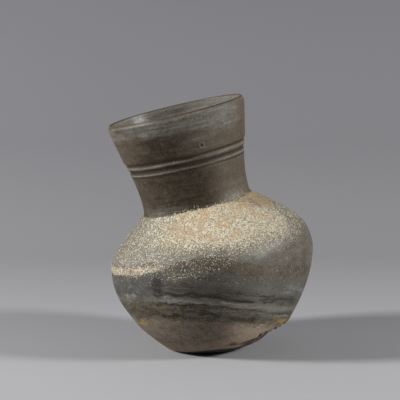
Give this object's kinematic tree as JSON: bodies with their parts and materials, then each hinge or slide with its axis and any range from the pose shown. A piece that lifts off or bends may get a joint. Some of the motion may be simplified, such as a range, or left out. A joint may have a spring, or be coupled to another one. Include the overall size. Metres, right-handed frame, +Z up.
{
  "type": "stoneware jar",
  "caption": "Grey stoneware jar with a wide flaring neck, fine ridges under the mouth, an ash-crusted round shoulder and a rounded base on which it stands at a lean.",
  "frame": {"origin": "centre of the flat under the rounded base on which the jar stands", "axes": "+Z up; +X to the right in the picture; the mouth leans towards -X; +Y away from the viewer"},
  "size_m": [0.1793, 0.18, 0.2247],
  "materials": {
    "tan_clay": "bare fired clay, matt",
    "streaked_clay": "bare fired clay with streaks of melted ash",
    "grey_clay": "bare fired clay, matt",
    "olive_clay": "bare fired clay with a thin film of ash",
    "rim_clay": "bare fired clay with a thin glassy film of ash",
    "fused_ash": "rough crust of fused wood ash"
  },
  "bodies": {
    "root": {"base_disc": "tan_clay", "lower_wall": "streaked_clay", "shoulder_wall": "grey_clay", "neck_collar": "olive_clay", "mouth_band": "rim_clay", "ash_crust": "fused_ash"}
  },
  "joints": []
}
